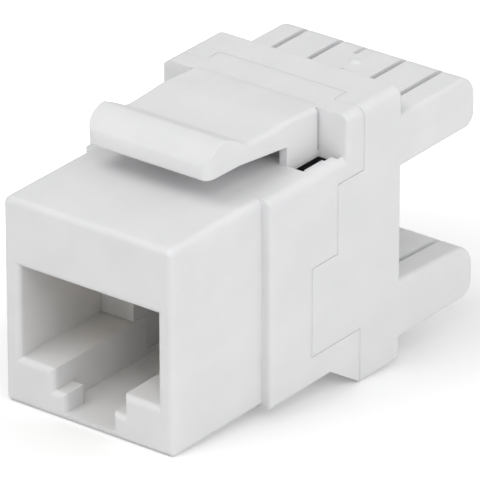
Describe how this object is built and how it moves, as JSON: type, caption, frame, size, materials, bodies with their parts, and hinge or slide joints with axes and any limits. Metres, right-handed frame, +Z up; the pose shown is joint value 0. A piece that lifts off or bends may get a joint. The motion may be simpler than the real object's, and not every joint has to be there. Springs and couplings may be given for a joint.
{
  "type": "keystone_jack",
  "caption": "White snap-in keystone jack with a modular plug port in front, a springy panel latch on top and two slotted wire-terminating jaws at the back.",
  "frame": {"origin": "middle of the footprint, on the level of the underside of the foot", "axes": "+Y runs from the plug port back to the wire jaws, +Z up towards the panel latch, +X to the right seen from the port"},
  "size_m": [0.0164, 0.0346, 0.0228],
  "materials": {
    "housing_plastic": "satin moulded white",
    "carrier_plastic": "plain moulded white",
    "board_laminate": "green lacquered laminate",
    "contact_gold": "gold plated",
    "blade_tin": "tin plated"
  },
  "bodies": {
    "jack": {"front_housing": "housing_plastic", "rear_housing": "housing_plastic", "contact_carrier": "carrier_plastic", "circuit_board": "board_laminate", "jack_contact_1": "contact_gold", "jack_contact_2": "contact_gold", "jack_contact_3": "contact_gold", "jack_contact_4": "contact_gold", "jack_contact_5": "contact_gold", "jack_contact_6": "contact_gold", "jack_contact_7": "contact_gold", "jack_contact_8": "contact_gold", "idc_contact_1": "blade_tin", "idc_contact_2": "blade_tin", "idc_contact_3": "blade_tin", "idc_contact_4": "blade_tin", "idc_contact_5": "blade_tin", "idc_contact_6": "blade_tin", "idc_contact_7": "blade_tin", "idc_contact_8": "blade_tin"},
    "latch": {"latch_arm": "housing_plastic"}
  },
  "joints": [
    {"name": "latch_press", "type": "hinge", "parent": "jack", "child": "latch", "pos_m": [0, -0.0018, 0.02093], "axis": [1, 0, 0], "range_deg": [0, 10], "stiffness_Nm_per_rad": 0.3}
  ]
}
